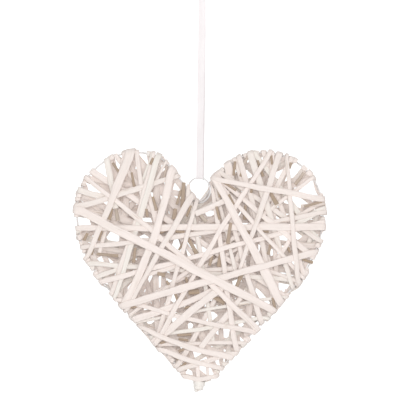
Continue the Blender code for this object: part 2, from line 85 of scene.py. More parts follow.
# Willow strips
FRONT, BACK = -1.0, 1.0
STRIP_THICKNESS = 0.00105
INNER_THICKNESS = STRIP_THICKNESS * 0.9
STRIP_GAP = 0.0003
TAIL_LENGTH = 0.007
SHORT_TAIL = 0.0022
TAIL_NARROWING = 0.7
TAIL_INWARD = 0.5
SEGMENT_LENGTH = 0.019
STIFF_SPAN = 0.02
FINE_STEP = 0.003
# Where a strip turns round the rim
WRAP_RUN = 0.0025
WRAP_RUN_MOST = 0.012
WRAP_RUN_SHARE = 0.3
WRAP_SLACK = 0.0012
WRAP_STRAIGHT = 0.25
WRAP_NARROWING = 0.94
WRAP_PULL = 0.0417
WRAP_HOLD = 0.958
WRAP_LIFT = 1.1
TURN_STEP = 0.0006
TURN_MOST = 0.0034
TURN_SHARE = 0.25
# How crossing strips share out the depth
PRESSED = 0.001
SAMPLE_STEP = 0.0008
CROWD_CELL = 0.001
CROWD_STRIDE = 4096
CROWD_ROUNDS = 900
CROWD_EASING = 0.6
CROWD_SMOOTHING = 0.2
CROWD_SETTLING = 0.01
# Layers of the passes on the back and of the ends, and how bare the strips are
BACK_LAYER = 30.0
FILL_LAYER = 20.0
LAYER_SPAN = 60
LONG_END_LAYER = 20.0
FILL_END_LAYER = 5.0
SHORT_END_LAYER = 15.0
LONG_BARENESS = 0.3
FILL_BARENESS = 0.6
# Half-round section of a strip, in thicknesses
FLAT_LIFT = -0.5
FLAT_CROWN = 0.06
EDGE = 0.22
CROWN = 1.0
ROUNDNESS = 0.52
CREASE_ANGLE = 62.0
# How unevenly a strip is split
STRIP_ROLL = 7.0
WIDTH_WANDER = 0.14
THICKNESS_WANDER = 0.12
SIDEWAYS_WANDER = 0.0007
EDGE_WANDER = 0.05
NARROWEST = 0.0012
DRAWS_SEED = 11

# Strips that cross only the back
COVER_CELL = 0.0015
BACK_BOWS = (0.0, 2.0, -2.0, 4.0, -4.0, 6.0, -6.0)
FILL_STRIPS = 46
FILL_TRIES = 70
FILL_WIDTHS = (3.5, 7.0)
FILL_SPAN = (12.0, 88.0)
FILL_SEED = 4
GAP_COST = 5.0
OUTSIDE_COST = 8.0

# Tip winding
TIP_X = -0.0017
TIP_TOP_RADIUS = 0.0068
TIP_TAPER = 0.0014
TIP_CLOSE = 0.0014
TIP_RISE = 0.0034
TIP_LENGTH = 0.014
TIP_TURNS = 2.7
TIP_BAND = 0.0044
TIP_SWELL = 0.00022
TIP_SWAY = 0.0003
TIP_SIDES = 48

# Hanging ring and ribbon
RING_RADIUS = 0.0126
RING_WIRE_RADIUS = 0.00075
RING_TILT = radians(26.0)
RING_X = -0.0009
RING_Z = NOTCH_Z + 0.008
RIBBON_WIDTH = 0.0072
RIBBON_THICKNESS = 0.0005
RIBBON_SPREAD = 0.0031
RIBBON_TILT = radians(20.0)
RIBBON_SAG_RUN = 0.03
KNOT_LENGTH = 0.012
KNOT_DEPTH = 0.0105
KNOT_WIDTH = 0.0092
RIBBON_CUP = 0.00025
RIBBON_ROWS = 60
RIBBON_TURN_ROWS = 17
RING_ROWS = 120
KNOT_ROWS, KNOT_COLUMNS = 28, 40

# Colours
CREAM = (0.91, 0.875, 0.815)
# The next two colours darken the short strips set where gaps in the weave lie in shade: a deep brown, partly
# bare wood and partly painted shade, and a dark brown that is painted shade
DEEP_BROWN_AND_SHADE = (0.2, 0.13, 0.08)
PAINTED_GAP_SHADE = (0.46, 0.355, 0.275)
PAINT = (0.945, 0.85, 0.805)
SHADE = (0.89, 0.808, 0.762)
BARE = (0.56, 0.43, 0.31)
STREAK = (0.86, 0.84, 0.82)
FIBRE = (0.7, 0.66, 0.62)

# The picture is 400 mm across at the heart, and its middle is level with the camera
PICTURE = 0.4
PICTURE_Z = -0.2115
CAMERA_AWAY = 2.6
SENSOR = 36.0
FLOOR_Z = -0.62
BACKDROP_Y = 3.9

# Strips as they lie in front: from, width, to, width, layer, bow. A place is a station, in hundredths of the
# way round the rim, or a point inside it, in mm right of the middle and below the knot. Widths and bows are
# in mm, and the highest layer is nearest the eye. Between two rows a strip crosses the back.
MAIN = (
    ((11.2, 5, 35.4, 5, 45, 0), (87.2, 4.5, 39.5, 4.5, 44, 0), (83.7, 6.5, 33.8, 5, 58, 0)),
    ((71.5, 5, 31.1, 5, 58.5, 0), (73.7, 5, 21.9, 4.5, 68.5, 3.5), (6.4, 5, 34.6, 5, 46, 0)),
    ((9, 5, 25.6, 5, 43, 0), (7, 5.5, 35.8, 5, 64, -3), (8.5, 7, 32.4, 4.5, 66, 0),
     (30.3, 5, 10.2, 5, 42, 0), (66, 4, 39.6, 5, 73, 3.5)),
    ((96.1, 5, 78.7, 6.5, 65, 0), (23.1, 5, 68.7, 5, 70, 0), (58.1, 4, 41.4, 4, 60.2, 0),
     (13.7, 5, 54.4, 5, 47, 0), (92, 3.5, 66.8, 5, 66, -2.2)),
    (((16.5, 299), 6, 62.5, 7, 72.8, -3.5), (98.3, 4.4, (13.5, 354), 4.5, 60, -1.5)),
    ((99.9, 4.2, 58.5, 5, 72.4, 0), (23.7, 7, 76.1, 6, 72, 0), (43, 6, 2.3, 4.5, 69, 0),
     (27.7, 6, 3.3, 5, 71, 0), (45.7, 5, 57.8, 6, 79.5, -4), (92.7, 6.5, 66.1, 4.5, 68, 0)),
    ((3.1, 7, 34.7, 9, 84.5, 0), (89.2, 10, 72.1, 4, 86, 0), (95, 8, 64.6, 7.5, 82, -6),
     (26.9, 6.5, 64.8, 7, 85, 0)),
    ((3, 4.5, 20.3, 6.5, 93, 0), (64, 4, 99.2, 6.5, 83, 0), (82.6, 4.5, 39.2, 6, 80, -4.5),
     (78.5, 8.5, 36, 7.5, 95, 0)),
    ((13.1, 3.8, 31.5, 5.5, 92, 0), (54, 5, 43, 5, 74.5, 0), (61.5, 5, 43.9, 6, 79, 5.5)),
    ((53.2, 4.8, 46.9, 4.8, 88, 6.4), (53.2, 4, 46.8, 4, 50, 7)),
)
INNER = (
    ((33.7, 3.5, 62, 3.5, 64.2, 0), (25.5, 5, 3.9, 5, 63, 0), (38.3, 6, 3.7, 4, 67.5, 0),
     (30.6, 4, 3, 4, 73, 0)),
    ((58.4, 5, 11, 4.5, 78, -3.2), (59.4, 4, 37.2, 4, 62.2, 0), (63.2, 4, 17.3, 4, 64.5, 0),
     (20.7, 4, 64.1, 3, 54, 0)),
)
# Gaps that show through both layers, by radius in mm: mm right of the picture's left edge and below the knot
LEFT_EDGE = 199.5
GAPS = (
    (1.5, ((131, 216), (100, 259), (108, 260), (114, 270), (140, 272), (302, 248), (307, 263), (167, 339),
     (164, 353), (181, 326), (246, 348))),
    (1.6, ((144, 248),)),
    (2, ((96, 221), (174, 204), (161, 188), (178, 216), (101, 271), (108, 271), (163, 264), (263, 172),
     (260, 203), (261, 222), (299, 251), (286, 274), (203, 260), (118, 298), (151, 289), (170, 293),
     (192, 374), (229, 349), (224, 340), (211, 311), (239, 308), (272, 287), (278, 287))),
    (2.5, ((144, 182), (97, 200), (213, 226), (248, 187), (258, 170), (267, 179), (291, 189), (300, 202),
     (301, 216), (231, 268), (129, 301), (159, 297), (156, 314), (189, 336), (202, 368), (203, 381),
     (208, 385), (240, 338), (246, 337), (240, 329), (214, 328), (262, 304), (277, 296))),
    (2.8, ((218, 373),)),
    (3, ((140, 175), (91, 231), (161, 199), (176, 199), (116, 250), (208, 225), (313, 204), (283, 212),
     (283, 249), (150, 333), (190, 385), (225, 347), (253, 321), (235, 294), (288, 303))),
    (3.2, ((147, 231),)),
    (3.5, ((190, 264), (276, 185), (174, 312), (171, 333), (227, 358))),
    (4, ((103, 181), (118, 174), (142, 170), (92, 197), (109, 246), (175, 255), (245, 180), (294, 182),
     (296, 214), (274, 267), (132, 292), (196, 366), (263, 314), (256, 301))),
    (4.5, ((84, 233),)),
    (5, ((155, 202), (306, 199), (282, 301))),
)
# Broken or tucked strips in front that end inside the weave, and short dark strips set where gaps in the
# weave lie in
# shade: from, width, to, width, layer, and how bare the wood is, where 0 is whitewashed, 3 is brown, partly
# bare wood and partly painted shade, and 5 is dark, painted shade
SHORT = (
    (12.2, 7, 38.5, 283, 3.5, 75, 0), (-103, 265.5, 2.6, -81.5, 267.5, 2.8, 55, 3.2),
    (-16.1, 194, 3.6, -17.5, 219, 4.2, 67, 5), (-24.9, 220, 3.6, -26.5, 230.5, 4.4, 66, 5),
    (-18.9, 202, 2.8, -23.5, 216, 2.8, 66.5, 3), (34.5, 173, 2.8, 33.5, 187, 2.8, 57, 4.2),
    (49, 167, 3.2, 43.5, 177, 3.2, 57, 2.6), (-2, 376, 4.2, -1, 391, 4.2, 60, 0),
    (7, 374, 3, 8, 391, 3, 60, 0), (21.4, 7, 87.5, 241, 5, 63.5, 0), (-3.5, 282, 4, 33.5, 280, 5, 59, 0),
    (-13.5, 249, 4, -1.5, 268, 4, 62, 3.6), (42.5, 284, 4, 33.5, 306, 4, 66, 3),
    (-3.5, 248, 4.5, 1.5, 266, 4, 62, 0), (103.5, 184, 3.4, 94.5, 196, 3.4, 58, 2.6),
    (20.8, 4, 100.5, 218, 3.5, 57, 2), (89.9, 4.5, -57.5, 209, 5, 62, 0),
    (-52.5, 201, 5.5, -40.5, 245, 7, 61, 0), (91.9, 3.5, -58.5, 202, 8, 60, 0),
    (40.5, 309, 5, 0.5, 359, 5.5, 67.2, 0), (91.5, 248, 4.5, 77.5, 270, 4.5, 66.5, 0),
    (58.7, 8, 27.5, 293, 7, 77, 0), (86.1, 6, -84.5, 220, 5.5, 64, 0), (31.2, 4, 58.5, 279.5, 4, 60.5, 0),
    (-4.5, 225.5, 6, 32.5, 208.5, 5, 74, 0), (5.4, 8, 31.5, 203, 7, 53, 0), (2.9, 3.5, 36.5, 287, 4, 67, 0),
    (-53.5, 286.5, 4, -17.5, 275, 4, 65.5, 0), (93.8, 3, -50.5, 203, 3, 61, 0),
    (69.5, 5, -67.5, 275.5, 4, 56, 0), (80.9, 6, -85.5, 211, 6, 57, 0),
    (88.4, 3.5, -100.5, 264, 3.5, 60, 0), (23.5, 193, 2.6, 36, 202, 2.6, 80, 4.2),
    (28.5, 206, 2.8, 34.5, 217, 2.8, 74.5, 3.2), (22.5, 261, 3.5, 18.5, 278, 4.5, 62, 4.4),
    (12.5, 264, 3, 9.5, 277, 3, 62, 3), (-16, 360.5, 2.6, -21, 363.5, 2.8, 66, 5),
    (-25.5, 367.5, 2.2, -21.5, 371, 2.4, 66, 5), (-14, 374, 2.2, -18.5, 377.5, 2.4, 66, 4.4),
    (-22.5, 346, 2, -8.5, 345.5, 2, 56, 4.4), (-21.5, 350, 2.2, -11.5, 351.5, 2.2, 56, 4.4),
    (53, 198, 2.4, 51, 204.5, 2.6, 68, 4), (70.5, 204, 3.5, 76.5, 216, 5, 66, 3.4),
    (45, 217, 2.6, 44.5, 231, 3.4, 66, 3.6), (46.5, 242, 2.6, 51, 247.5, 2.6, 69, 4.4),
    (60.5, 242, 3, 68.5, 243, 3.4, 69, 4.6), (53.3, 241, 2, 51.9, 250, 2.2, 69, 4.4),
    (70.5, 256, 2.6, 68, 266, 3, 68, 3.8), (102.5, 270.5, 2.4, 113, 273.5, 2.8, 66, 3.6),
    (72.5, 309, 2.6, 75.1, 320.5, 3.8, 69, 5), (13.5, 308.5, 4, 24.5, 314, 5, 60, 3.4),
    (-42.5, 284.5, 3.4, -34.5, 286, 4, 67, 4.4), (-33.5, 292, 2.4, -31, 296, 2.8, 67, 4.4),
    (-24.9, 305, 2.4, -22.1, 311, 3, 67, 4.8), (-11.5, 303.5, 4, -0.5, 303, 5, 62, 3.6),
    (-14.5, 288.5, 2.4, -12.5, 295, 3, 67, 4.2), (-69.5, 319, 3, -61, 316.6, 3, 66, 4.6),
    (-24.5, 324.5, 2.6, -21.2, 330, 2.6, 67, 4.4), (-15.5, 319, 2.2, -9.5, 318.4, 2.4, 67, 4.2),
    (-40, 354, 2.2, -35, 352.6, 2.4, 67, 4.4), (-53.3, 220.5, 2.6, -52.5, 228, 2.8, 68, 4.6),
    (-39.5, 244.5, 3.2, -33.5, 240.5, 3.4, 68, 4.6), (-56, 252.5, 2.4, -50.5, 258, 2.8, 67, 4.2),
    (-46.5, 208, 3, -43.5, 222, 3.6, 61, 3), (-68.3, 184, 2.2, -65.5, 198, 3, 66, 4.2),
    (-80.9, 184.5, 1.8, -79.9, 190, 2, 66, 4.4), (-87.5, 174.5, 2.2, -80.5, 185, 2.4, 66, 3.2),
    (-46.9, 169.5, 2.2, -49.9, 176, 2.2, 66, 3.6), (-33.5, 178, 2, -37, 192, 2.4, 61, 2.6),
    (-88, 220, 3, -91, 231, 4, 61, 3.2), (-83.5, 221, 3, -82, 232, 4, 61, 2.8),
    (-64.9, 259, 2.6, -65.9, 274, 3, 67, 4.6), (-24.5, 243, 2.6, -15.5, 244, 3, 68, 4.2),
    (-15.3, 251, 2.2, -21, 261.5, 2.4, 66, 4.2), (-112.5, 244.5, 2.4, -115.7, 252, 3, 66, 4),
    (-106.5, 258.5, 1.8, -108.3, 266, 2, 66, 3.8), (-98, 242, 2, -100.5, 252, 2, 66, 3.4),
    (-36.5, 220, 2, -39.5, 233, 2.6, 67, 3.6), (-9, 217, 2, -13.5, 228, 2, 76, 3.2),
    (16.5, 196, 2, 19.5, 209, 2.2, 76, 3), (30.5, 234, 3.2, 27.5, 255, 4, 73, 5),
    (16.5, 218, 2, 19.5, 231, 2.4, 76, 3.6), (57.5, 172, 2, 62.5, 188, 3, 61, 3.6),
    (71.5, 167, 2, 72.5, 176, 2, 61, 4.4), (43, 182, 1.8, 40.5, 188, 1.8, 61, 3.4),
    (90.5, 174, 2, 89, 180, 2, 61, 3.4), (104, 218, 2.2, 121.5, 213, 2.6, 66, 3),
    (85.5, 253, 2, 89.5, 264, 2, 66, 3.4), (0.5, 226, 3, 6.5, 233, 4, 60, 2.6),
    (-11.1, 196, 3.6, -12.7, 216, 4.2, 68.5, 0),
)

draws = np.random.default_rng(DRAWS_SEED)


def heart_half():
    """Right half of the wire's centre line, from the notch to the tip."""
    reach = hypot(LOBE_OFFSET, NOTCH_RISE)
    run = sqrt(reach ** 2 - LOBE_RADIUS ** 2)
    lean = atan2(-NOTCH_RISE, LOBE_OFFSET) + asin(LOBE_RADIUS / reach)
    touch = (run * cos(lean), NOTCH_Z + run * sin(lean))
    opening = pi / 2 - lean
    centre_z = NOTCH_Z + NOTCH_FILLET / sin(opening)
    points = []
    for t in np.linspace(0, pi / 2 - opening, 7):
        points.append((NOTCH_FILLET * sin(t), centre_z - NOTCH_FILLET * cos(t)))
    start = atan2(touch[1] - LOBE_Z, touch[0] - LOBE_OFFSET)
    for t in np.linspace(start, 0.0, 90):
        points.append((LOBE_OFFSET + LOBE_RADIUS * cos(t), LOBE_Z + LOBE_RADIUS * sin(t)))
    flank_x = HALF_WIDTH - FLANK_RADIUS
    for t in np.linspace(0, FLANK_TURN, 41)[1:]:
        points.append((flank_x + FLANK_RADIUS * cos(t), LOBE_Z - FLANK_RADIUS * sin(t)))
    for t in np.linspace(0, 1, 51)[1:]:
        x = FLANK_END_X + (NECK_TOP_HALF - FLANK_END_X) * t
        points.append((x, FLANK_END_Z + (NECK_Z - FLANK_END_Z) * t))
    low = NECK_Z - NECK_DROP
    for t in np.linspace(0, 1, 7)[1:]:
        points.append((NECK_TOP_HALF + (NECK_HALF - NECK_TOP_HALF) * t, NECK_Z + (low - NECK_Z) * t))
    points.append((NECK_HALF, low - NECK_STRAIGHT))
    for t in np.linspace(0.3, pi / 2, 6):
        points.append((NECK_HALF * cos(t), low - NECK_STRAIGHT - NECK_HALF * sin(t)))
    return np.array(points)


right = heart_half()
left = right[::-1].copy()
left[:, 0] *= -1.0
loop = np.vstack([right, left[1:]])
steps = np.concatenate([[0.0], np.cumsum(np.hypot(*np.diff(loop, axis=0).T))])
RIM_LENGTH = steps[-1]
marks = np.linspace(0, RIM_LENGTH, RIM_SAMPLES, endpoint=False)
rim = np.stack([np.interp(marks, steps, loop[:, 0]), np.interp(marks, steps, loop[:, 1])], axis=1)
stations = np.arange(RIM_SAMPLES) * 100 / RIM_SAMPLES
stations = np.where(stations < 50.0, stations + 100.0, stations)
dip = np.stack([np.interp(stations, NOTCH_DIP[:, 0], NOTCH_DIP[:, k]) for k in (1, 2)], axis=1)
dip *= (0.001, -0.001)
blended = [np.roll(dip, k, axis=0) for k in range(-NOTCH_BLEND, NOTCH_BLEND + 1)]
rim += sum(blended) / float(len(blended))
ahead = np.roll(rim, -TANGENT_REACH, axis=0) - np.roll(rim, TANGENT_REACH, axis=0)
rim_along = ahead / norm(ahead, axis=1)[:, None]
rim_in = np.stack([rim_along[:, 1], -rim_along[:, 0]], axis=1)


def rim_index(station):
    return int(round(station / 100 * RIM_SAMPLES)) % RIM_SAMPLES


def place_on(place):
    """x and z of a station on the rim, or of a point inside it."""
    if isinstance(place, tuple):
        return np.array((place[0], -place[1])) / 1000
    return rim[rim_index(place)]


# Cushion that the two layers lie on
GRID_X0 = -HALF_WIDTH - GRID_MARGIN
GRID_Z0 = NECK_Z - GRID_MARGIN
GRID_Z1 = LOBE_Z + LOBE_RADIUS + GRID_MARGIN
cushion_x = GRID_X0 + CUSHION_STEP * np.arange(int(round(-2 * GRID_X0 / CUSHION_STEP)) + 1)
cushion_z = GRID_Z0 + CUSHION_STEP * np.arange(int(round((GRID_Z1 - GRID_Z0) / CUSHION_STEP)) + 1)


def inside_heart(px, pz):
    """Which of these points lie inside the rim."""
    outline = rim[::5]
    after = np.roll(outline, -1, axis=0)
    inside = np.zeros(px.shape, dtype=bool)
    for (x0, z0), (x1, z1) in zip(outline, after):
        if z0 == z1:
            continue
        crosses = (z0 > pz) != (z1 > pz)
        inside ^= crosses & (px < (x1 - x0) * (pz - z0) / (z1 - z0) + x0)
    return inside


def cushion():
    """Height of the cushion above the middle, at the points of its grid."""
    inside = inside_heart(*np.meshgrid(cushion_x, cushion_z, indexing="ij"))
    level = np.zeros(inside.shape)
    for _ in range(CUSHION_ROUNDS):
        around = level[2:, 1:-1] + level[:-2, 1:-1] + level[1:-1, 2:] + level[1:-1, :-2]
        level[1:-1, 1:-1] = np.where(inside[1:-1, 1:-1], (around + 1.0) / 4.0, 0.0)
    return DOME_RISE * (level / level.max()) ** DOME_POWER


CUSHION = cushion()


def cushion_height(points):
    fx = np.clip((points[:, 0] - cushion_x[0]) / CUSHION_STEP, 0, len(cushion_x) - 1.001)
    fz = np.clip((points[:, 1] - cushion_z[0]) / CUSHION_STEP, 0, len(cushion_z) - 1.001)
    ix, iz = fx.astype(int), fz.astype(int)
    tx, tz = fx - ix, fz - iz
    low = CUSHION[ix, iz] * (1 - tx) + CUSHION[ix + 1, iz] * tx
    high = CUSHION[ix, iz + 1] * (1 - tx) + CUSHION[ix + 1, iz + 1] * tx
    return low * (1 - tz) + high * tz


# Where the weave lies, on a grid of small cells. The first cells past the rim don't count as outside.
cover_x, cover_z = np.meshgrid(np.arange(GRID_X0, -GRID_X0, COVER_CELL),
                               np.arange(GRID_Z0, GRID_Z1, COVER_CELL), indexing="ij")
within = inside_heart(cover_x, cover_z)
outside = within.copy()
for _ in range(2):
    for axis in (0, 1):
        outside |= np.roll(outside, 1, axis) | np.roll(outside, -1, axis)
outside = ~outside
gaps = np.zeros(within.shape, dtype=bool)
for gap_radius, middles in GAPS:
    for gap_right, gap_below in middles:
        away = np.hypot(cover_x - (gap_right - LEFT_EDGE) / 1000, cover_z + gap_below / 1000)
        gaps |= away < gap_radius / 1000
covered = np.zeros(within.shape, dtype=bool)


def strip_cells(ends, bow):
    """Cells that a strip covers, where its ends are given as from, width, to, width."""
    a, a_width, b, b_width = ends
    first, last = place_on(a), place_on(b)
    length = norm(last - first)
    way = (last - first) / length
    part = ((cover_x - first[0]) * way[0] + (cover_z - first[1]) * way[1]) / length
    aside = (cover_z - first[1]) * way[0] - (cover_x - first[0]) * way[1]
    aside += bow / 1000 * 4 * part * (1 - part)
    half = (a_width + (b_width - a_width) * part) / 2000
    return (part > 0.0) & (part < 1.0) & (np.abs(aside) < half)


def easiest_bow(ends):
    """How well a strip on the back fills bare ground beside the gaps, with its best bow and its cells."""
    tries = []
    for bow in BACK_BOWS:
        cells = strip_cells(ends, bow)
        new = cells & within & ~covered
        worth = (new & ~gaps).sum() - GAP_COST * (new & gaps).sum() - OUTSIDE_COST * (cells & outside).sum()
        tries.append((worth - abs(bow), bow, cells))
    return max(tries, key=lambda found: found[0])


def fill_strips():
    """Strips that cross only the back, each laid where the weave is still the most open beside the gaps."""
    fill_draws = np.random.default_rng(FILL_SEED)
    laid = []
    for _ in range(FILL_STRIPS):
        found = []
        for _ in range(FILL_TRIES):
            a = fill_draws.uniform(0, 100)
            b = (a + fill_draws.uniform(*FILL_SPAN)) % 100
            a_width, b_width = fill_draws.uniform(*FILL_WIDTHS, 2)
            ends = (a, a_width, b, b_width)
            found.append((*easiest_bow(ends), ends))
        _, bow, cells, ends = max(found, key=lambda one: one[0])
        laid.append((ends, bow))
        covered[cells] = True
    return laid


def leg_samples(centres, halves):
    """Points over the strip's footprint, leg by leg, with how far along each leg they lie."""
    for k in range(len(centres) - 1):
        length = norm(centres[k + 1] - centres[k])
        width = 2 * norm(halves[k])
        overrun = STRIP_THICKNESS / 2 / max(length, 1e-6)
        low = -overrun if k == 0 else 0.0
        high = 1 + overrun if k == len(centres) - 2 else 1.0
        u = np.linspace(low, high, max(3, int(length / SAMPLE_STEP) + 2))[:, None]
        v = np.linspace(0, 1, max(2, int(width / SAMPLE_STEP) + 2))[None, :]
        near_a, near_b = centres[k] - halves[k], centres[k] + halves[k]
        far_a, far_b = centres[k + 1] - halves[k + 1], centres[k + 1] + halves[k + 1]
        inner = (1 - u) * v
        outer = u * (1 - v)
        first = near_a * (1 - u - inner)[..., None] + near_b * inner[..., None] + far_b * u[..., None]
        second = near_a * (1 - u)[..., None] + far_a * outer[..., None] + far_b * (u - outer)[..., None]
        yield k, u[:, 0], np.concatenate([first, second], axis=1)


def turn_round_rim(turns):
    """Work out how far out each turn lies, the deepest strips first and each pressed onto those below."""
    pace = RIM_LENGTH / RIM_SAMPLES
    reach = np.full(RIM_SAMPLES, RIM_WIRE_RADIUS)
    for turn in sorted(turns, key=lambda turn: turn["layer"]):
        spread = int(ceil(turn["width"] / 2000 / pace))
        window = (np.arange(-spread, spread + 1) + turn["index"]) % RIM_SAMPLES
        top = min(reach[window].max() + TURN_STEP, TURN_MOST)
        turn["out"] = top
        reach[window] = np.maximum(reach[window], top)


def plan_pass(start, end, bow, side, layer):
    """One pass of a strip seen from the front, between two turns round the rim or from or to a loose end."""
    places = [spot["point"] for spot in (start, end)]
    halves = [spot["width"] / 2000 for spot in (start, end)]
    way = places[1] - places[0]
    length = norm(way)
    way = way / length
    across = np.array([-way[1], way[0]])
    centres, spreads = [], []
    for spot, point, heading, half in zip((start, end), places, (way, -way), halves):
        if "index" in spot:
            index = spot["index"]
            straight = max(WRAP_STRAIGHT, abs(heading @ rim_in[index]))
            skew = sqrt(max(0, 1 - straight ** 2))
            run = max(WRAP_RUN, (half * skew + WRAP_SLACK) / straight)
            run = min(run, WRAP_RUN_MOST, length * WRAP_RUN_SHARE)
            along = rim_along[index] * (1.0 if rim_along[index] @ across > 0 else -1.0)
            out = (spot["out"] + STRIP_THICKNESS / 2 + WRAP_PULL * run) / WRAP_HOLD
            centres.append([point - rim_in[index] * out, point + heading * run])
            spreads.append([along * half * WRAP_NARROWING, across * half])
        else:
            centres.append([point])
            spreads.append([across * half])
    first, last = centres[0][-1], centres[1][-1]
    span = norm(last - first)
    pieces = max(2, int(round(span / SEGMENT_LENGTH))) if span > STIFF_SPAN else 1
    shares = [0.5 - 0.5 * cos(pi * j / pieces) for j in range(1, pieces)]
    middle = [first + (last - first) * share for share in shares]
    line = np.array(centres[0] + middle + centres[1][::-1])
    part = np.clip((line - places[0]) @ way / length, 0.0, 1.0)
    line = line - across[None, :] * (bow / 1000 * 4 * part * (1 - part))[:, None]
    wide = halves[0] + (halves[1] - halves[0]) * part
    spread = np.array(spreads[0] + [across] * len(middle) + spreads[1][::-1])
    free = slice(len(spreads[0]), len(line) - len(spreads[1]))
    spread[free] *= wide[free, None]
    lowest = np.full(len(line), -1.0)
    for slot, spot in ((0, start), (-1, end)):
        if "index" in spot:
            above_wire = TURN_SHARE * (spot["out"] - RIM_WIRE_RADIUS)
            lowest[slot] = RIM_WIRE_RADIUS + STRIP_THICKNESS / 2 + above_wire
    rest = cushion_height(line) * (LAYER_REST + LAYER_RISE * layer / 100) + PRESSED / 2
    rest = np.where(lowest > 0, lowest, rest)
    turns = (start.get("index"), end.get("index"))
    return dict(side=side, layer=layer, line=line, spread=spread, rest=rest, lowest=lowest, turns=turns)


def loose_end(turn, toward, length):
    """Where a strip's loose end lies, a short way in from the rim."""
    index = turn["index"]
    other = toward["point"] - rim[index]
    other = other / norm(other)
    sideways = -(other @ rim_along[index])
    inward = max(TAIL_INWARD, sqrt(max(0, 1 - sideways ** 2)))
    heading = rim_in[index] * inward + rim_along[index] * sideways
    point = rim[index] + heading / norm(heading) * length
    return {"point": point, "width": turn["width"] * TAIL_NARROWING}


def plan_strip(spots, passes, side):
    """All passes of one strip by turns on either side of the heart."""
    legs = []
    for k in range(len(spots) - 1):
        layer, bow = passes[k]
        leg = plan_pass(spots[k], spots[k + 1], bow, side, layer)
        if legs and (leg["spread"][0] * legs[-1]["spread"][-1]).sum() < 0:
            leg["spread"] = -leg["spread"]
        legs.append(leg)
        side = -side
    return legs


def crowd(legs, side):
    """Share out the depth where strips cross: upper strips give way outward, lower ones inward."""
    chosen = sorted((leg for leg in legs if leg["side"] == side), key=lambda leg: leg["layer"])
    base = np.concatenate([leg["rest"] for leg in chosen])
    lowest = np.concatenate([leg["lowest"] for leg in chosen])
    starts = np.cumsum([0] + [len(leg["rest"]) for leg in chosen])
    cell, order, slot, part_way = [], [], [], []
    for number, leg in enumerate(chosen):
        for k, u, points in leg_samples(leg["line"], leg["spread"]):
            ix = np.rint((points[..., 0] - GRID_X0) / CROWD_CELL).astype(int)
            iz = np.rint((points[..., 1] - GRID_Z0) / CROWD_CELL).astype(int)
            key = (ix * CROWD_STRIDE + iz).ravel()
            fraction = np.repeat(np.clip(u, 0.0, 1.0), points.shape[1])
            picked, first = np.unique(key, return_index=True)
            cell.append(picked)
            part_way.append(fraction[first])
            slot.append(np.full(len(picked), starts[number] + k))
            order.append(np.full(len(picked), number))
    cell, order, slot, part_way = (np.concatenate(x) for x in (cell, order, slot, part_way))
    sort = np.lexsort((order, cell))
    cell, order, slot, part_way = cell[sort], order[sort], slot[sort], part_way[sort]
    touching = np.nonzero((cell[1:] == cell[:-1]) & (order[1:] != order[:-1]))[0]
    low_slot, low_b = slot[touching], part_way[touching]
    high_slot, high_b = slot[touching + 1], part_way[touching + 1]
    low_a, high_a = 1 - low_b, 1 - high_b
    inner = np.ones(len(base), dtype=bool)
    inner[starts[:-1]] = False
    inner[starts[1:] - 1] = False
    heights = base.copy()
    for turn in range(CROWD_ROUNDS):
        ease = max(0, 1 - turn / (CROWD_EASING * CROWD_ROUNDS))
        low = low_a * heights[low_slot] + low_b * heights[low_slot + 1]
        high = high_a * heights[high_slot] + high_b * heights[high_slot + 1]
        short = np.maximum(PRESSED - (high - low), 0.0)
        down, up = np.zeros((2, len(base)))
        for push, slots, a, b in ((down, low_slot, low_a, low_b), (up, high_slot, high_a, high_b)):
            share = short / 2 / (a ** 2 + b ** 2)
            np.maximum.at(push, slots, share * a)
            np.maximum.at(push, slots + 1, share * b)
        heights += up - down
        shift = heights - base
        beside = (np.roll(shift, 1) + np.roll(shift, -1)) / 2
        eased = shift + CROWD_SMOOTHING * ease * (beside - shift)
        shift = np.where(inner, eased, shift) * (1 - CROWD_SETTLING * ease)
        heights = np.maximum(base + shift, lowest)
    for number, leg in enumerate(chosen):
        leg["heights"] = heights[starts[number]:starts[number + 1]]


def wander(places, wavelengths):
    """A smooth random wave along a strip, between about -1 and 1."""
    total = np.zeros(len(places))
    for wavelength in wavelengths:
        total += np.sin(2 * pi * places / wavelength + draws.uniform(0, 2 * pi))
    return total / len(wavelengths)


def spline_rows(rows, counts):
    """Cubic B-spline through rows of control values, with the given count of steps per span."""
    padded = np.vstack([2 * rows[:1] - rows[1:2], rows, 2 * rows[-1:] - rows[-2:-1]])
    out = []
    for k, count in enumerate(counts):
        t = (np.arange(count) / count)[:, None]
        a, b, c, d = padded[k:k + 4]
        out.append((a * (1 - t) ** 3 + b * (3 * t ** 3 - 6 * t ** 2 + 4)
                    + c * (-3 * t ** 3 + 3 * t ** 2 + 3 * t + 1) + d * t ** 3) / 6)
    out.append(((padded[-3] + 4 * padded[-2] + padded[-1]) / 6)[None, :])
    return np.vstack(out)


def unit(rows):
    return rows / np.maximum(norm(rows, axis=1), 1e-9)[:, None]


def distances(line):
    """How far along a line each of its points lies."""
    return np.concatenate([[0.0], np.cumsum(norm(np.diff(line, axis=0), axis=1))])


def strip_rows(legs):
    """Fine centre line, half width vectors, outward vectors and leg numbers along one winding."""
    rows = []
    for number, leg in enumerate(legs):
        side = leg["side"]
        wraps = {0: leg["turns"][0], len(leg["line"]) - 1: leg["turns"][1]}
        for k, (point, wide) in enumerate(zip(leg["line"], leg["spread"])):
            wrap = wraps.get(k)
            out = (0.0, side, 0.0)
            if wrap is not None:
                out = (-rim_in[wrap][0], side * WRAP_LIFT, -rim_in[wrap][1])
            rows.append((point[0], side * leg["heights"][k], point[1], wide[0], 0.0, wide[1], *out, number))
    rows = np.array(rows)
    spans = norm(np.diff(rows[:, :3], axis=0), axis=1)
    fine = spline_rows(rows, np.maximum(3, np.ceil(spans / FINE_STEP)).astype(int))
    return fine[:, :3], fine[:, 3:6], fine[:, 6:9], fine[:, 9]


def add_object(name, data):
    made = bpy.data.objects.new(name, data)
    scene.collection.objects.link(made)
    return made


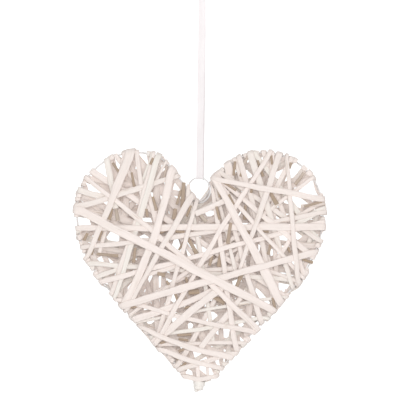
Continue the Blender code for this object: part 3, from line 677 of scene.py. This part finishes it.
def mesh_piece(name, points, faces, made, attributes=(), sharp=40.0):
    """A smooth piece with one material and the values that its material reads."""
    data = bpy.data.meshes.new(name)
    data.from_pydata(points.tolist(), [], faces)
    data.update()
    for label, values in attributes:
        kind, field = ("FLOAT_VECTOR", "vector") if values.ndim == 2 else ("FLOAT", "value")
        layer = data.attributes.new(label, kind, "POINT")
        layer.data.foreach_set(field, values.astype(np.float32).ravel())
    data.shade_smooth()
    data.set_sharp_from_angle(angle=radians(sharp))
    data.materials.append(made)
    return add_object(name, data)


def tube_faces(rings, corners, closed=False):
    """Faces of a tube of rings of points, open ones with an end face each."""
    faces = []
    for r in range(rings - (0 if closed else 1)):
        a, b = r * corners, ((r + 1) % rings) * corners
        for c in range(corners):
            d = (c + 1) % corners
            faces.append((a + c, a + d, b + d, b + c))
    if not closed:
        faces.append(tuple(range(corners))[::-1])
        faces.append(tuple(range((rings - 1) * corners, rings * corners)))
    return faces


def profile():
    """Half-round section: (across, out) in half widths and thicknesses, crown first and flat side last."""
    rows = []
    for t in np.linspace(0, pi, 9):
        rows.append((cos(t), FLAT_LIFT + EDGE + (CROWN - EDGE) * sin(t) ** ROUNDNESS))
    for a in (-0.93, 0.0, 0.93):
        rows.append((a, FLAT_LIFT + FLAT_CROWN * (1 - abs(a))))
    return np.array(rows)


PROFILE = profile()
WILLOW_VALUES = ("grain", "crown", "tint", "bareness_and_shade")
strip_count = 0


def on_crown(b):
    """1 on the rounded side of the section and 0 on its flat side."""
    return 1.0 if b > FLAT_LIFT + FLAT_CROWN + 0.01 else 0.0


def strip_shape(legs, thickness, bareness_and_shade):
    """Points, faces, grain, crown, tint, and bareness with painted shade, of one strip, with its uneven
    width, edges and twist.
    """
    global strip_count
    centre, wide, out, number = strip_rows(legs)
    tangent = unit(np.gradient(centre, axis=0))
    wide_length = norm(wide, axis=1)
    wide = unit(wide - (wide * tangent).sum(axis=1)[:, None] * tangent)
    out = out - (out * tangent).sum(axis=1)[:, None] * tangent
    out = unit(out - (out * wide).sum(axis=1)[:, None] * wide)
    place = distances(centre)
    roll = np.radians(STRIP_ROLL) * wander(place, (0.31, 0.17, 0.083))
    turned = wide * np.cos(roll)[:, None] + out * np.sin(roll)[:, None]
    out = out * np.cos(roll)[:, None] - wide * np.sin(roll)[:, None]
    wide = turned
    half = 1 + WIDTH_WANDER * wander(place, (0.31, 0.13, 0.061, 0.037))
    half *= np.maximum(wide_length, NARROWEST)
    thick = thickness * (1 + THICKNESS_WANDER * wander(place, (0.23, 0.11)))
    centre = centre + wide * (SIDEWAYS_WANDER * wander(place, (0.16, 0.085, 0.045)))[:, None]
    centre[:, 0] += HEART_X
    rows, crown, across = [], [], []
    for a, b in PROFILE:
        edge = 1 + EDGE_WANDER * wander(place, (0.019, 0.0083)) * abs(a)
        rows.append(centre + wide * (half * a * edge)[:, None] + out * (thick * b)[:, None])
        crown.append(np.full(len(centre), on_crown(b)))
        across.append(half * a)
    points = np.stack(rows, axis=1).reshape(-1, 3)
    count = len(centre)
    strip_count += 1
    grain = np.stack([np.repeat(place + strip_count * 3.7, len(PROFILE)),
                      np.stack(across, axis=1).ravel(),
                      np.repeat(np.full(count, strip_count * 0.137), len(PROFILE))], axis=1)
    shades = [draws.uniform(-1.0, 0.3 if leg["side"] == FRONT and leg["layer"] > 70 else 1.0) for leg in legs]
    tint = np.repeat(np.interp(number, np.arange(len(legs)), shades), len(PROFILE))
    faces = tube_faces(count, len(PROFILE))
    return points, faces, grain, np.stack(crown, axis=1).ravel(), tint, np.full(len(points), bareness_and_shade)


def strip_piece(name, strips):
    """One piece of one or more strips, each with its legs, thickness and how bare its wood is, with painted
    shade in the darkest.
    """
    shapes = [strip_shape(*strip) for strip in strips]
    faces, start = [], 0
    for shape in shapes:
        faces += [tuple(corner + start for corner in face) for face in shape[1]]
        start += len(shape[0])
    points, *values = (np.concatenate([shape[k] for shape in shapes]) for k in (0, 2, 3, 4, 5))
    piece = mesh_piece(name, points, faces, WILLOW, zip(WILLOW_VALUES, values), CREASE_ANGLE)
    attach(piece, "root")
    return piece


# Materials
def set_inputs(node, values):
    """Give inputs of a node plain values, colours or the outputs of other nodes."""
    for label, value in values.items():
        slot = node.inputs[label]
        if isinstance(value, bpy.types.NodeSocket):
            node.id_data.links.new(value, slot)
        elif slot.type == "RGBA":
            slot.default_value = (*value, 1.0)
        else:
            slot.default_value = value


def add_node(tree, kind, output, values, **settings):
    made = tree.nodes.new("ShaderNode" + kind)
    for label, setting in settings.items():
        setattr(made, label, setting)
    set_inputs(made, values)
    return made.outputs[output]


def math_node(tree, operation, *values, clamp=False):
    return add_node(tree, "Math", 0, dict(enumerate(values)), operation=operation, use_clamp=clamp)


def weighted(tree, first, share, second, other_share):
    """The sum of two values, each times its share."""
    return math_node(tree, "ADD", math_node(tree, "MULTIPLY", first, share),
                     math_node(tree, "MULTIPLY", second, other_share))


def attribute(tree, name, output):
    return add_node(tree, "Attribute", output, {}, attribute_name=name)


def noise(tree, vector, scale, detail, rough):
    values = {"Vector": vector, "Scale": scale, "Detail": detail, "Roughness": rough}
    return add_node(tree, "TexNoise", "Fac", values)


def grained(tree, grain, along, across, detail, rough):
    """Noise drawn out along the grain."""
    drawn = add_node(tree, "VectorMath", 0, {0: grain, 1: (along, across, 1.0)}, operation="MULTIPLY")
    return noise(tree, drawn, 1.0, detail, rough)


def ramp(tree, value, low, high, out_low=0.0, out_high=1.0):
    values = {"Value": value, "From Min": low, "From Max": high, "To Min": out_low, "To Max": out_high}
    return add_node(tree, "MapRange", "Result", values, interpolation_type="SMOOTHSTEP")


def mix(tree, factor, first, second):
    """Two colours mixed, where 0, 6 and 7 are the node's inputs and 2 its output for colours."""
    values = {0: factor, 6: first, 7: second}
    return add_node(tree, "Mix", 2, values, data_type="RGBA", clamp_factor=True)


def bump(tree, height, strength, distance):
    return add_node(tree, "Bump", "Normal", {"Height": height, "Strength": strength, "Distance": distance})


def tinted(colour, factors):
    return tuple(value * factor for value, factor in zip(colour, factors))


def new_material(name):
    made = bpy.data.materials.new(name)
    made.use_nodes = True
    return made, made.node_tree, made.node_tree.nodes["Principled BSDF"]


def willow(name, paint, shade, bare):
    """Whitewash brushed over split willow: long fibres, streaks, thin patches and bare wood, and painted
    shade in the darkest strips.
    """
    made, tree, shader = new_material(name)
    grain = attribute(tree, "grain", "Vector")
    fibres = grained(tree, grain, 45, 1500, 4, 0.6)
    streaks = grained(tree, grain, 16, 420, 3, 0.55)
    patches = grained(tree, grain, 38, 130, 3, 0.5)
    crown = attribute(tree, "crown", "Fac")
    tint = attribute(tree, "tint", "Fac")
    bareness_and_shade = attribute(tree, "bareness_and_shade", "Fac")
    # The flat split face, turned towards the shaded inside of the heart, gets a little more fibre and bare
    # wood: partly its thinner whitewash and partly painted shade
    flat = math_node(tree, "SUBTRACT", 1.0, crown, clamp=True)
    thin = weighted(tree, patches, 0.55, fibres, 0.45)
    thin = math_node(tree, "ADD", thin, math_node(tree, "MULTIPLY", flat, 0.02))
    thin = math_node(tree, "ADD", thin, math_node(tree, "MULTIPLY", bareness_and_shade, 0.05))
    bared = ramp(tree, thin, 0.6, 0.75)
    colour = mix(tree, ramp(tree, tint, -1.0, 0.6), paint, shade)
    colour = mix(tree, ramp(tree, patches, 0.4, 0.62, 0.0, 0.5), colour, shade)
    colour = mix(tree, ramp(tree, tint, 0.35, 0.95, 0.0, 0.7), colour, CREAM)
    colour = mix(tree, ramp(tree, streaks, 0.42, 0.7, 0.0, 0.35), colour, tinted(paint, STREAK))
    showing = math_node(tree, "MULTIPLY_ADD", flat, 0.07, 0.12)
    showing = math_node(tree, "MULTIPLY", ramp(tree, fibres, 0.5, 0.68), showing)
    colour = mix(tree, showing, colour, tinted(paint, FIBRE))
    colour = mix(tree, math_node(tree, "MULTIPLY", bared, 0.75), colour, bare)
    # Painted shade: strips set at shaded gaps darken to a fibrous deep brown, partly bare wood and partly
    # shade
    colour = mix(tree, ramp(tree, bareness_and_shade, 1.2, 3.4, 0.0, 0.85), colour, mix(tree, fibres, DEEP_BROWN_AND_SHADE, bare))
    # Painted shade: the darkest strips turn dark brown where gaps in the weave lie in shade
    colour = mix(tree, ramp(tree, bareness_and_shade, 3.4, 5.0), colour, PAINTED_GAP_SHADE)
    height = weighted(tree, fibres, 0.6, streaks, 0.8)
    set_inputs(shader, {"Base Color": colour, "Roughness": ramp(tree, fibres, 0.3, 0.7, 0.62, 0.8),
                        "Specular IOR Level": 0.35, "Normal": bump(tree, height, 0.55, 0.0005)})
    return made


WILLOW = willow("whitewashed_willow", PAINT, SHADE, BARE)
TIP_WILLOW = willow("tip_whitewash", (0.965, 0.925, 0.88), (0.925, 0.88, 0.835), BARE)


def wire_material(name, colour, dull, metallic, roughness):
    """Wire with dull spots and a fine uneven surface."""
    made, tree, shader = new_material(name)
    place = tree.nodes.new("ShaderNodeTexCoord").outputs["Object"]
    spots = noise(tree, place, 900.0, 4.0, 0.6)
    broad = noise(tree, place, 140.0, 3.0, 0.5)
    wear = weighted(tree, spots, 0.5, broad, 0.5)
    rough = ramp(tree, spots, 0.35, 0.65, roughness * 0.8, roughness * 1.25)
    set_inputs(shader, {"Base Color": mix(tree, ramp(tree, wear, 0.46, 0.6), colour, dull),
                        "Roughness": rough, "Metallic": metallic, "Normal": bump(tree, spots, 0.3, 0.0002)})
    return made


RIM_PAINT = wire_material("painted_rim_wire", (0.86, 0.83, 0.82), (0.66, 0.62, 0.6), 0.1, 0.5)
RING_METAL = wire_material("ring_wire", (0.9, 0.885, 0.885), (0.72, 0.7, 0.7), 0.25, 0.42)


def ribbon_material():
    """Ribbed woven ribbon with a faint sheen."""
    made, tree, shader = new_material("ribbon_cloth")
    weave = attribute(tree, "grain", "Vector")
    ribs = grained(tree, weave, 2600, 60, 2, 0.5)
    threads = grained(tree, weave, 300, 3600, 2, 0.5)
    soft = grained(tree, weave, 40, 160, 3, 0.5)
    colour = mix(tree, ramp(tree, soft, 0.35, 0.65), (0.935, 0.895, 0.9), (0.905, 0.855, 0.86))
    colour = mix(tree, ramp(tree, ribs, 0.45, 0.7, 0.0, 0.22), colour, (0.85, 0.79, 0.8))
    height = weighted(tree, ribs, 0.8, threads, 0.35)
    set_inputs(shader, {"Base Color": colour, "Roughness": ramp(tree, threads, 0.3, 0.7, 0.42, 0.62),
                        "Sheen Weight": 0.35, "Sheen Roughness": 0.4,
                        "Normal": bump(tree, height, 0.4, 0.0002)})
    return made


RIBBON_CLOTH = ribbon_material()

# Camera
lens = bpy.data.cameras.new("camera")
lens.sensor_width = SENSOR
lens.lens = SENSOR * CAMERA_AWAY / PICTURE
camera = add_object("camera", lens)
camera.location = (HEART_X, -CAMERA_AWAY, PICTURE_Z)
camera.rotation_euler = (pi / 2, 0, 0)
scene.camera = camera


# Ribbon: down the front from the knot, under the top of the ring and back up behind it
def ribbon_path():
    """Middle of the ribbon and its direction across, point by point."""
    ring_top = RING_Z + RING_RADIUS
    bend = (RING_WIRE_RADIUS + STRIP_GAP + RIBBON_THICKNESS / 2) * 1.03
    inner = (RIBBON_SPREAD - RIBBON_THICKNESS / 2) / (KNOT_DEPTH / 2)
    high = -KNOT_LENGTH / 2 * sqrt(1 - inner ** 2) - STRIP_GAP
    strand = []
    for t in np.linspace(0, 1, RIBBON_ROWS + 1):
        strand.append((t, RIBBON_SPREAD + (bend - RIBBON_SPREAD) * t, high + (ring_top - high) * t))
    turns = np.linspace(pi, 2 * pi, RIBBON_TURN_ROWS)[1:-1]
    around = [(1.0, bend * cos(turn), ring_top + bend * sin(turn)) for turn in turns]
    path = [(t, -away, z) for t, away, z in strand] + around + strand[::-1]
    points = []
    for t, away, z in path:
        turn = RIBBON_TILT * t
        wide = np.array([cos(turn), -sin(turn), 0.0])
        off = np.array([sin(turn), cos(turn), 0.0])
        points.append((np.array([HEART_X * t, 0.0, z]) + off * away, wide))
    return points


def ribbon_piece():
    """The ribbon, slightly cupped, with its fold sagging along the ring's curve."""
    path = ribbon_path()
    centre = np.array([p for p, _ in path])
    wide = np.array([w for _, w in path])
    tangent = unit(np.gradient(centre, axis=0))
    out = unit(np.cross(tangent, wide))
    place = distances(centre)
    half = RIBBON_WIDTH / 2 * (1 + 0.012 * wander(place, (0.08, 0.031)))
    cup = RIBBON_CUP * wander(place, (0.19, 0.09))
    across = np.linspace(-1, 1, 9)
    ring = [(a, 0.5) for a in across] + [(a, -0.5) for a in across[::-1]]
    rows, spans = [], []
    for a, b in ring:
        edge = 1 + 0.25 * (abs(a) > 0.9)
        rows.append(centre + wide * (half * a)[:, None]
                    + out * (RIBBON_THICKNESS * 0.8 * b * edge + cup * (a * a - 0.4))[:, None])
        spans.append(half * a)
    points = np.stack(rows, axis=1).reshape(-1, 3)
    aside = (points[:, 0] - HEART_X - RING_X) / cos(RING_TILT)
    sag = RING_RADIUS - np.sqrt(np.maximum(RING_RADIUS ** 2 - aside ** 2, 0.0))
    near = np.clip(1 - (points[:, 2] - RING_Z - RING_RADIUS) / RIBBON_SAG_RUN, 0.0, 1.0)
    points[:, 2] -= sag * near ** 2
    grain = np.stack([np.repeat(place, len(ring)), np.stack(spans, axis=1).ravel(),
                      np.zeros(len(points))], axis=1)
    piece = mesh_piece("hanging_ribbon", points, tube_faces(len(centre), len(ring)), RIBBON_CLOTH,
                       (("grain", grain),), 50.0)
    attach(piece, "root")
    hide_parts("ribbon")
    return piece, centre, place[-1]


def knot_piece():
    """The two ends drawn into one knot, with folds running across it."""
    points, grain = [], []
    for i in range(KNOT_ROWS + 1):
        polar = pi * i / KNOT_ROWS
        for j in range(KNOT_COLUMNS):
            turn = 2 * pi * j / KNOT_COLUMNS
            fold = 0.055 * sin(3 * turn + 5.0 * cos(polar))
            fold += 0.03 * sin(7 * turn - 9.0 * cos(polar))
            size = 1 + fold * sin(polar)
            points.append((KNOT_WIDTH / 2 * sin(polar) * cos(turn) * size,
                           KNOT_DEPTH / 2 * sin(polar) * sin(turn) * size,
                           KNOT_LENGTH / 2 * cos(polar)))
            grain.append((turn * 0.005, polar * 0.006, 0.0))
    sides = tube_faces(KNOT_ROWS + 1, KNOT_COLUMNS)[:-2]
    attributes = (("grain", np.array(grain)),)
    piece = mesh_piece("ribbon_end_knot", np.array(points), sides, RIBBON_CLOTH, attributes)
    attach(piece, "root")
    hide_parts("ribbon_knot")
    return piece


knot = knot_piece()
ribbon, ribbon_line, ribbon_length = ribbon_piece()


# Wires
def wire_piece(name, centre, radius, made):
    """A closed loop of round wire."""
    tangent = unit(np.roll(centre, -1, axis=0) - np.roll(centre, 1, axis=0))
    first = np.tile((0.0, 1.0, 0.0), (len(centre), 1))
    first = unit(first - (first * tangent).sum(axis=1)[:, None] * tangent)
    second = np.cross(tangent, first)
    turns = np.linspace(0, 2 * pi, WIRE_CORNERS, endpoint=False)
    rows = [centre + first * radius * cos(t) + second * radius * sin(t) for t in turns]
    points = np.stack(rows, axis=1).reshape(-1, 3)
    piece = mesh_piece(name, points, tube_faces(len(centre), WIRE_CORNERS, True), made)
    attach(piece, "root")
    return piece


picks = np.arange(0, RIM_SAMPLES, RIM_STRIDE)
rim_line = np.stack([rim[picks, 0] + HEART_X, 0.0 * picks, rim[picks, 1]], axis=1)
rim_piece = wire_piece("bent_rim_wire", rim_line, RIM_WIRE_RADIUS, RIM_PAINT)
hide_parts("rim_wire")

turns = np.linspace(0, 2 * pi, RING_ROWS, endpoint=False)
ring_line = np.stack([RING_RADIUS * np.sin(turns) * cos(RING_TILT) + HEART_X + RING_X,
                      -RING_RADIUS * np.sin(turns) * sin(RING_TILT),
                      RING_Z - RING_RADIUS * np.cos(turns)], axis=1)
ring_piece = wire_piece("bent_hanging_ring", ring_line, RING_WIRE_RADIUS, RING_METAL)
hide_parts("hanging_ring")


def tip_piece():
    """Half-round strip turned level round the two wires at the tip, drawn in towards the end."""
    top_z = NECK_Z - NECK_DROP - STRIP_GAP + TIP_RISE
    count = int(TIP_SIDES * TIP_TURNS)
    places = np.arange(count + 1) * 2 * pi * TIP_TOP_RADIUS / TIP_SIDES
    swell = TIP_SWELL * wander(places, (0.021, 0.013, 0.034))
    sway = TIP_SWAY * wander(places, (0.027, 0.041))
    breadth = TIP_BAND * 0.52 * (1 + 0.14 * wander(places, (0.05, 0.019)))
    rows, grain, crown = [], [], []
    for k in range(count + 1):
        t = k / count
        angle = 2 * pi * k / TIP_SIDES
        radius = TIP_TOP_RADIUS - TIP_TAPER * t - TIP_CLOSE * t ** 4 + swell[k]
        z = top_z - TIP_BAND / 2 - (TIP_LENGTH - TIP_BAND) * t + sway[k] * (1 - t)
        band = breadth[k]
        way = np.array([cos(angle), sin(angle), 0.0])
        for a, b in PROFILE:
            spot = way * (radius + (b - 1.0) * STRIP_THICKNESS)
            rows.append(spot + np.array([HEART_X + TIP_X * (0.35 + 0.65 * t), 0.0, z + a * band]))
            grain.append((angle * radius, a * band, 0.7))
            crown.append(on_crown(b))
    points = np.array(rows)
    even = np.zeros(len(points))
    values = (np.array(grain), np.array(crown), even, even + LONG_BARENESS)
    faces = tube_faces(count + 1, len(PROFILE))
    piece = mesh_piece("bound_tip", points, faces, TIP_WILLOW, zip(WILLOW_VALUES, values), CREASE_ANGLE)
    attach(piece, "root")
    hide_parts("tip_winding")


tip_piece()

# Strips, planned in the order in which their pieces are made
every_turn = []
plans = []


def spot(place, width, layer):
    """A turn round the rim at a station, or a loose end at a point inside the heart."""
    made = {"point": place_on(place), "width": width}
    if not isinstance(place, tuple):
        made.update(index=rim_index(place), layer=layer)
        every_turn.append(made)
    return made


def plan(winding_name, rows, back_layers, end_layer, side, tail, bare):
    """Plan one strip, which shows in each of its rows and crosses the other side between them."""
    stops, passes = [], []
    for k, (a, a_width, b, b_width, layer, bow) in enumerate(rows):
        if k:
            _, back_bow, cells = easiest_bow((*rows[k - 1][2:4], a, a_width))
            covered[cells] = True
            passes.append((back_layers[k], back_bow))
        passes.append((layer, bow))
        stops += [spot(a, a_width, layer), spot(b, b_width, layer)]
    if "index" in stops[0]:
        stops.insert(0, loose_end(stops[0], stops[1], tail))
        passes.insert(0, (end_layer, 0.0))
        side = -side
    if "index" in stops[-1]:
        stops.append(loose_end(stops[-1], stops[-2], tail))
        passes.append((end_layer, 0.0))
    plans.append((winding_name, stops, passes, side, bare))


long_windings = [("winding_%02d" % (number + 1), rows) for number, rows in enumerate(MAIN)]
long_windings += [("", rows) for rows in INNER]
short_strips = []
# The last column is how bare the wood is; the dark strips at shaded gaps carry painted shade there
for *start, a_width, x, z, b_width, layer, bare in SHORT:
    a = tuple(start) if len(start) > 1 else start[0]
    short_strips.append(((a, a_width, (x, z), b_width, layer, 0.0), bare))
for row in [row for _, rows in long_windings for row in rows] + [row for row, _ in short_strips]:
    covered |= strip_cells(row[:4], row[5])
for number, (winding_name, rows) in enumerate(long_windings):
    back_layers = [BACK_LAYER + (number * 37 + k * 23) % LAYER_SPAN for k in range(len(rows))]
    plan(winding_name, rows, back_layers, LONG_END_LAYER + number, FRONT, TAIL_LENGTH, LONG_BARENESS)
for number, (ends, bow) in enumerate(fill_strips()):
    row = (*ends, FILL_LAYER + (number * 29) % LAYER_SPAN, bow)
    plan("", (row,), None, FILL_END_LAYER + number * 0.3, BACK, SHORT_TAIL, FILL_BARENESS)
for row, bare in short_strips:
    plan("", (row,), None, SHORT_END_LAYER, FRONT, TAIL_LENGTH, bare)
turn_round_rim(every_turn)
windings = []
for winding_name, stops, passes, first, bare in plans:
    windings.append((winding_name, plan_strip(stops, passes, first), bare))
every_leg = [leg for _, legs, _ in windings for leg in legs]
for side in (FRONT, BACK):
    crowd(every_leg, side)
long_count = len(MAIN) + len(INNER)
short_start = long_count + FILL_STRIPS
for number, (winding_name, legs, bare) in enumerate(windings[:short_start]):
    if winding_name:
        piece = strip_piece("willow_" + winding_name, [(legs, STRIP_THICKNESS, bare)])
        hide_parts(winding_name)
    elif number < long_count:
        strip_piece("inner_willow_%02d" % (number - len(MAIN) + 1), [(legs, INNER_THICKNESS, bare)])
    else:
        strip_piece("back_willow_%02d" % (number - long_count + 1), [(legs, INNER_THICKNESS, bare)])
# The short strips make one piece, with the dark ones standing as painted shade in the weave's gaps
strip_piece("tucked_willow_ends", [(legs, INNER_THICKNESS, bare) for _, legs, bare in windings[short_start:]])

# Studio: white surroundings, soft lamps, a pale floor well below the heart and a white backdrop far behind it
world = bpy.data.worlds.new("studio")
scene.world = world
world.use_nodes = True
set_inputs(world.node_tree.nodes["Background"], {"Color": (1, 1, 1), "Strength": 0.52})
scene.view_settings.view_transform = "Standard"


def lamp(name, place, size, power, aim=(HEART_X, 0.0, -0.27)):
    light = bpy.data.lights.new(name, "AREA")
    light.shape = "DISK"
    light.size = size
    light.energy = power
    made = add_object(name, light)
    made.location = place
    way = np.array(aim) - np.array(place)
    flat = hypot(way[0], way[1])
    made.rotation_euler = (atan2(flat, -way[2]), 0.0, atan2(-way[0], way[1]))


lamp("key", (-0.35, -2.0, 0.25), 0.6, 7.2)
lamp("fill", (0.75, -1.9, -0.3), 0.8, 4.0)
lamp("front", (0.06, -2.5, -0.1), 0.25, 12.0)

bpy.ops.mesh.primitive_circle_add(vertices=96, radius=1.9, fill_type="NGON", location=(0, 0, FLOOR_Z))
floor = bpy.context.active_object
floor.name = "floor"
floor_made, _, floor_shader = new_material("pale_floor")
set_inputs(floor_shader, {"Base Color": (0.86, 0.86, 0.86), "Roughness": 0.9})
floor.data.materials.append(floor_made)
bpy.ops.mesh.primitive_plane_add(size=9.6, location=(0, BACKDROP_Y, 0), rotation=(pi / 2, 0, 0))
backdrop = bpy.context.active_object
backdrop.name = "backdrop"
glow, _, glow_shader = new_material("white_backdrop")
set_inputs(glow_shader, {"Base Color": (0.9, 0.9, 0.9), "Emission Color": (1, 1, 1),
                         "Emission Strength": 0.75})
backdrop.data.materials.append(glow)
